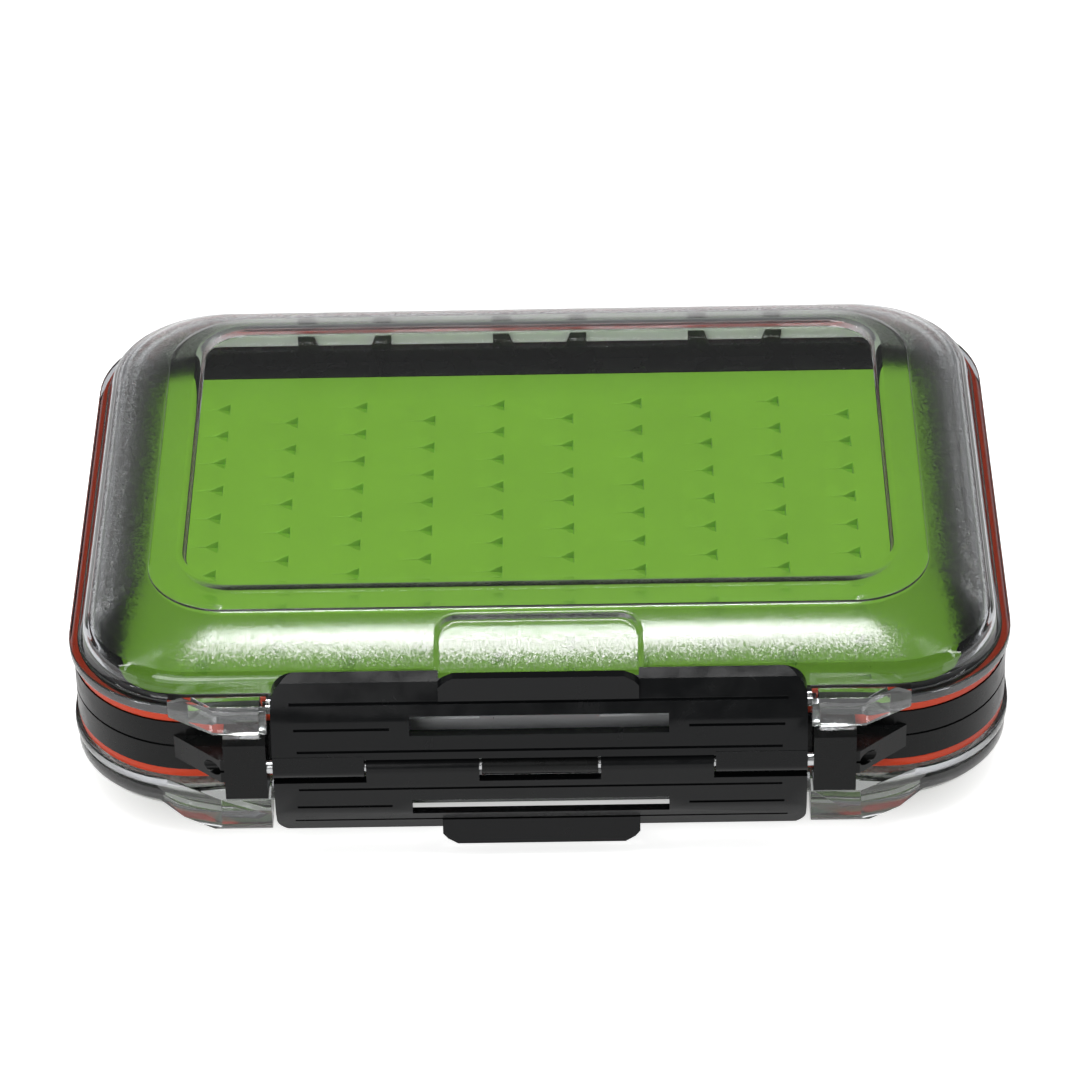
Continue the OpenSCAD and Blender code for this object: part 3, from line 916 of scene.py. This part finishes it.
def facet_normal(tree, grain, lean):
    """The normal of a spark-eroded surface, on which every little facet leans its own way.

    Real facets are finer, and these are drawn as coarse as they need to show.
    """
    place = add(tree, "ShaderNodeTexCoord").outputs["Object"]
    cells = add(tree, "ShaderNodeTexVoronoi", {"Scale": 1 / grain}, {"Vector": place})
    halved = {"operation": "SUBTRACT", 1: (0.5, 0.5, 0.5)}
    centred = add(tree, "ShaderNodeVectorMath", halved, {0: cells.outputs["Color"]})
    lessened = {"operation": "MULTIPLY", 1: (lean, lean, lean)}
    scaled = add(tree, "ShaderNodeVectorMath", lessened, {0: centred.outputs[0]})
    smooth = add(tree, "ShaderNodeNewGeometry").outputs["Normal"]
    both = {0: smooth, 1: scaled.outputs[0]}
    facet = add(tree, "ShaderNodeVectorMath", {"operation": "ADD"}, both)
    unit = {"operation": "NORMALIZE"}
    return add(tree, "ShaderNodeVectorMath", unit, {0: facet.outputs[0]}).outputs[0]


def polycarbonate(finish):
    """Clear polycarbonate, moulded against a polished, a satin or a spark-eroded tool.

    Polished it is glassy with sharp reflections, satin it blurs what lies under it, and
    spark-eroded it shows a fine grain that sparkles in a highlight.
    """
    mat, tree = new_material(f"moulded polycarbonate, {finish}")
    rough, lean, share = MOULDED[finish]
    # The polished walls get the grey tint of painted shade, the window its clear tint
    tints = {"polished": colours().lid_wall_painted_shade, "polished window": colours().lid_clear}
    values = {
        "Base Color": rgba(tints.get(finish, colours().lid_frost)),
        "Transmission Weight": 1.0,
        "IOR": POLYCARBONATE_IOR,
        "Roughness": rough,
    }
    links = {}
    if lean:
        values["Specular IOR Level"] = TOOLED_SPECULAR
        values["Specular Tint"] = rgba(TOOLED_TINT)
        links["Normal"] = facet_normal(tree, sizes().frost_grain * share, lean)
    glass = add(tree, "ShaderNodeBsdfPrincipled", values, links)
    # Lamps and scattered light pass through, as they do through thin clear plastic
    through = add(tree, "ShaderNodeBsdfTransparent", {"Color": rgba([LET_THROUGH] * 3)})
    path = add(tree, "ShaderNodeLightPath")
    rays = {0: path.outputs["Is Shadow Ray"], 1: path.outputs["Is Diffuse Ray"]}
    either = add(tree, "ShaderNodeMath", {"operation": "MAXIMUM"}, rays)
    shaders = {0: either.outputs[0], 1: glass.outputs[0], 2: through.outputs[0]}
    mix = add(tree, "ShaderNodeMixShader", None, shaders)
    add(tree, "ShaderNodeOutputMaterial", None, {"Surface": mix.outputs[0]})
    return mat


def ground_plastic(tone):
    """Ground polycarbonate, cloudy, on the catch and the foot of a lid.

    Its tones are painted light and painted shade: pale at the hinges, where light comes in, and
    darkened beside the black frame. It is thin on the catch.
    """
    mat, tree = new_material(f"ground polycarbonate, {tone}")
    code, clear = GROUND[tone]
    place = add(tree, "ShaderNodeTexCoord").outputs["Object"]
    clouds = add(tree, "ShaderNodeTexNoise", {"Scale": 1 / CLOUDS, "Detail": 3.0}, {"Vector": place})
    span = {"To Min": 0.2, "To Max": 0.5}
    rough = add(tree, "ShaderNodeMapRange", span, {"Value": clouds.outputs["Fac"]})
    values = {
        "Base Color": rgba(linear(code)),
        "Transmission Weight": clear,
        "IOR": POLYCARBONATE_IOR,
    }
    surface = add(tree, "ShaderNodeBsdfPrincipled", values, {"Roughness": rough.outputs[0]})
    add(tree, "ShaderNodeOutputMaterial", None, {"Surface": surface.outputs[0]})
    return mat


def silicone(name, rgb, roughness):
    """Moulded silicone rubber: soft and matt, with a faint dusty bloom and a fine grain."""
    mat, tree = new_material(name)
    place = add(tree, "ShaderNodeTexCoord").outputs["Object"]
    dust = add(tree, "ShaderNodeTexNoise", {"Scale": 1 / DUST, "Detail": 4.0}, {"Vector": place})
    span = {"To Min": 0.9, "To Max": 1.08}
    bloom = add(tree, "ShaderNodeMapRange", span, {"Value": dust.outputs["Fac"]})
    tint = add(tree, "ShaderNodeHueSaturation", {"Color": rgba(rgb)}, {"Value": bloom.outputs[0]})
    fine = {"Scale": 1 / SILICONE_GRAIN, "Detail": 2.0}
    grain = add(tree, "ShaderNodeTexNoise", fine, {"Vector": place})
    raised = {"Strength": 0.25, "Distance": GRAIN_HEIGHT}
    bump = add(tree, "ShaderNodeBump", raised, {"Height": grain.outputs["Fac"]})
    values = {
        "Roughness": roughness,
        "IOR": SILICONE_IOR,
        "Sheen Weight": 0.05,
        "Sheen Roughness": 0.4,
    }
    links = {"Base Color": tint.outputs[0], "Normal": bump.outputs["Normal"]}
    surface = add(tree, "ShaderNodeBsdfPrincipled", values, links)
    add(tree, "ShaderNodeOutputMaterial", None, {"Surface": surface.outputs[0]})
    return mat


def black_abs(name, rgb, roughness):
    """Moulded ABS: near black, with a soft broad gloss, a fine tool grain and faint rub marks."""
    mat, tree = new_material(name)
    place = add(tree, "ShaderNodeTexCoord").outputs["Object"]
    worn = {"Scale": 1 / RUBS, "Detail": 5.0, "Distortion": 0.6}
    rubs = add(tree, "ShaderNodeTexNoise", worn, {"Vector": place})
    span = {"From Min": 0.35, "From Max": 0.7, "To Min": roughness - 0.05, "To Max": roughness + 0.09}
    rough = add(tree, "ShaderNodeMapRange", span, {"Value": rubs.outputs["Fac"]})
    grain = add(tree, "ShaderNodeTexNoise", {"Scale": 1 / TOOL_GRAIN, "Detail": 3.0}, {"Vector": place})
    raised = {"Strength": 0.2, "Distance": GRAIN_HEIGHT}
    bump = add(tree, "ShaderNodeBump", raised, {"Height": grain.outputs["Fac"]})
    values = {"Base Color": rgba(rgb), "IOR": ABS_IOR, "Specular IOR Level": 0.16}
    links = {"Roughness": rough.outputs[0], "Normal": bump.outputs["Normal"]}
    surface = add(tree, "ShaderNodeBsdfPrincipled", values, links)
    add(tree, "ShaderNodeOutputMaterial", None, {"Surface": surface.outputs[0]})
    return mat


def drawn_steel():
    """Drawn stainless steel wire: bright, with fine lines along its length."""
    mat, tree = new_material("drawn stainless steel")
    place = add(tree, "ShaderNodeTexCoord").outputs["Object"]
    stretch = add(tree, "ShaderNodeMapping", {"Scale": (0.02, 1, 1)}, {"Vector": place})
    drawn = {"Vector": stretch.outputs[0]}
    lines = add(tree, "ShaderNodeTexNoise", {"Scale": 1 / STEEL_LINES}, drawn)
    raised = {"Strength": 0.2, "Distance": LINE_HEIGHT}
    bump = add(tree, "ShaderNodeBump", raised, {"Height": lines.outputs["Fac"]})
    values = {"Base Color": rgba(colours().pin_steel), "Metallic": 1.0, "Roughness": 0.25}
    surface = add(tree, "ShaderNodeBsdfPrincipled", values, {"Normal": bump.outputs["Normal"]})
    add(tree, "ShaderNodeOutputMaterial", None, {"Surface": surface.outputs[0]})
    return mat


# Stage

FLOOR_RADIUS, FLOOR_STEPS = 600, 64
# How bright the paper glows for the camera, and for rays that gloss and clear plastic pass on
GLOW_SEEN, GLOW_PASSED = 0.95, 0.45
# The paper's glow is darkened this near to the case, down to this share: a painted shadow
SHADE_REACH, SHADE_LEFT = 7 * MM, 0.3
# Brightness of the room low down and overhead, and the height by which it has changed
ROOM_LOW, ROOM_HIGH, ROOM_RISE = 0.3, 0.12, 0.4

# Name, place, size and power of the lamps, and the point that they face
LAMPS = (
    ("key", (0.0, -0.13, 0.95), (0.32, 0.26), 6.0),
    ("side strip", (-0.85, -0.25, 0.6), (0.05, 1.0), 1.1),
    ("side strip", (0.85, -0.25, 0.6), (0.05, 1.0), 1.1),
    ("front fill", (-0.5, -1.1, 0.6), (0.8, 0.6), 6.0),
)
LAMP_TARGET = (0, 0, 0.02)

CAMERA_PLACE, CAMERA_TARGET = (0.0099605, -0.6893464, 0.516172), (-0.0000384, 0.0000637, 0.0196)
CAMERA_ROLL, CAMERA_LENS, CAMERA_SENSOR = math.radians(-1.37283), 166.411, 36.0


def paper_glow(tree):
    """How bright the paper glows for the ray that meets it. Scattered light doesn't see the glow."""
    path = add(tree, "ShaderNodeLightPath")
    rays = {0: path.outputs["Is Glossy Ray"], 1: path.outputs["Is Transmission Ray"]}
    passed = add(tree, "ShaderNodeMath", {"operation": "MAXIMUM"}, rays)
    dimmed = {"operation": "MULTIPLY", 1: GLOW_PASSED}
    part = add(tree, "ShaderNodeMath", dimmed, {0: passed.outputs[0]})
    bright = {"operation": "MULTIPLY", 1: GLOW_SEEN}
    first = add(tree, "ShaderNodeMath", bright, {0: path.outputs["Is Camera Ray"]})
    both = {0: first.outputs[0], 1: part.outputs[0]}
    return add(tree, "ShaderNodeMath", {"operation": "MAXIMUM"}, both).outputs[0]


def floor_paper():
    """Matt white paper: it is lifted to white by a glow, and near the object it keeps the lamps' shadow and
    adds a painted shadow where the glow is darkened.
    """
    mat, tree = new_material("matt white paper")
    paper = add(tree, "ShaderNodeBsdfDiffuse", {"Color": rgba(colours().floor_white)})
    # Painted shadow: the glow fades near the case
    near = add(tree, "ShaderNodeAmbientOcclusion", {"Distance": SHADE_REACH, "samples": 12})
    span = {"To Min": SHADE_LEFT, "To Max": 1.0}
    part = add(tree, "ShaderNodeMapRange", span, {"Value": near.outputs["AO"]})
    glow = {0: paper_glow(tree), 1: part.outputs[0]}
    level = add(tree, "ShaderNodeMath", {"operation": "MULTIPLY"}, glow)
    lift = add(tree, "ShaderNodeEmission", {"Color": (1, 1, 1, 1)}, {"Strength": level.outputs[0]})
    shaders = {0: paper.outputs[0], 1: lift.outputs[0]}
    both = add(tree, "ShaderNodeAddShader", None, shaders)
    add(tree, "ShaderNodeOutputMaterial", None, {"Surface": both.outputs[0]})
    return mat


def build_floor():
    """A round sheet of paper under the case."""
    bm = bmesh.new()
    bmesh.ops.create_circle(bm, cap_ends=True, segments=FLOOR_STEPS, radius=FLOOR_RADIUS)
    for v in bm.verts:
        v.co.z = -MIDDLE
    return mesh_object("floor", bm, [floor_paper()])


def white_room():
    """The world: the camera sees white, and everything else a grey room that is dimmer overhead."""
    world = bpy.data.worlds.new("white room")
    world.use_nodes = True
    tree = world.node_tree
    tree.nodes.clear()
    place = add(tree, "ShaderNodeTexCoord").outputs["Generated"]
    height = add(tree, "ShaderNodeSeparateXYZ", None, {0: place})
    span = {"From Min": 0.0, "From Max": ROOM_RISE, "To Min": ROOM_LOW, "To Max": ROOM_HIGH}
    room = add(tree, "ShaderNodeMapRange", span, {"Value": height.outputs["Z"]})
    camera_ray = add(tree, "ShaderNodeLightPath").outputs["Is Camera Ray"]
    seen = {0: camera_ray, 1: room.outputs[0]}
    level = add(tree, "ShaderNodeMath", {"operation": "MAXIMUM"}, seen)
    sky = add(tree, "ShaderNodeBackground", {"Color": (1, 1, 1, 1)}, {"Strength": level.outputs[0]})
    add(tree, "ShaderNodeOutputWorld", None, {"Surface": sky.outputs[0]})
    return world


def lamp(name, place, size, power):
    """A soft rectangular lamp that faces the object."""
    data = bpy.data.lights.new(name, "AREA")
    data.shape = "RECTANGLE"
    data.size, data.size_y = size
    data.energy = power
    obj = linked(name, data)
    obj.location = place
    obj.rotation_mode = "QUATERNION"
    obj.rotation_quaternion = (Vector(place) - Vector(LAMP_TARGET)).to_track_quat("Z", "Y")


def aim_camera():
    """The camera of the photograph: it looks at its target, turned about its own axis by its roll."""
    data = bpy.data.cameras.new("camera")
    data.lens, data.sensor_width = CAMERA_LENS, CAMERA_SENSOR
    data.clip_start, data.clip_end = 0.01, 50.0
    cam = linked("camera", data)
    back = (Vector(CAMERA_PLACE) - Vector(CAMERA_TARGET)).normalized()
    right = Vector((0, 0, 1)).cross(back).normalized()
    up = back.cross(right)
    c, s = math.cos(CAMERA_ROLL), math.sin(CAMERA_ROLL)
    rows = Matrix((right * c + up * s, up * c - right * s, back)).transposed()
    cam.matrix_world = Matrix.Translation(CAMERA_PLACE) @ rows.to_4x4()
    bpy.context.scene.camera = cam


class FLYBOX_OT_stage(bpy.types.Operator):
    """Set up the floor, the lamps, the world and the camera"""

    bl_idname = "flybox.stage"
    bl_label = "Stage"

    def execute(self, context):
        scene = context.scene
        scene.view_settings.view_transform = "Standard"
        floor = build_floor()
        scene.world = white_room()
        for name, place, size, power in LAMPS:
            lamp(name, place, size, power)
        aim_camera()
        return {"FINISHED"}


class FLYBOX_PT_panel(bpy.types.Panel):
    """Lists the pieces and their sizes and colours"""

    bl_idname = "FLYBOX_PT_panel"
    bl_label = "Fly box"
    bl_space_type = "VIEW_3D"
    bl_region_type = "UI"
    bl_category = "Fly box"

    def draw(self, context):
        for operator in OPERATORS:
            self.layout.operator(operator.bl_idname)
        for group in (context.scene.fly_box_sizes, context.scene.fly_box_colours):
            for name in group.__annotations__:
                self.layout.prop(group, name)


OPERATORS = (
    FLYBOX_OT_stage,
    FLYBOX_OT_frame,
    FLYBOX_OT_pins,
    FLYBOX_OT_latches,
    FLYBOX_OT_seals,
    FLYBOX_OT_pads,
    FLYBOX_OT_lids,
)
CLASSES = (FlyBoxSizes, FlyBoxColours, *OPERATORS, FLYBOX_PT_panel)


def register():
    for cls in CLASSES:
        bpy.utils.register_class(cls)
    bpy.types.Scene.fly_box_sizes = bpy.props.PointerProperty(type=FlyBoxSizes)
    bpy.types.Scene.fly_box_colours = bpy.props.PointerProperty(type=FlyBoxColours)


def unregister():
    del bpy.types.Scene.fly_box_colours
    del bpy.types.Scene.fly_box_sizes
    for cls in reversed(CLASSES):
        bpy.utils.unregister_class(cls)


def main():
    register()
    bpy.ops.flybox.stage()
    bpy.ops.flybox.frame()
    bpy.ops.flybox.pins()
    bpy.ops.flybox.latches()
    bpy.ops.flybox.seals()
    bpy.ops.flybox.pads()
    bpy.ops.flybox.lids()


if __name__ == "__main__":
    main()
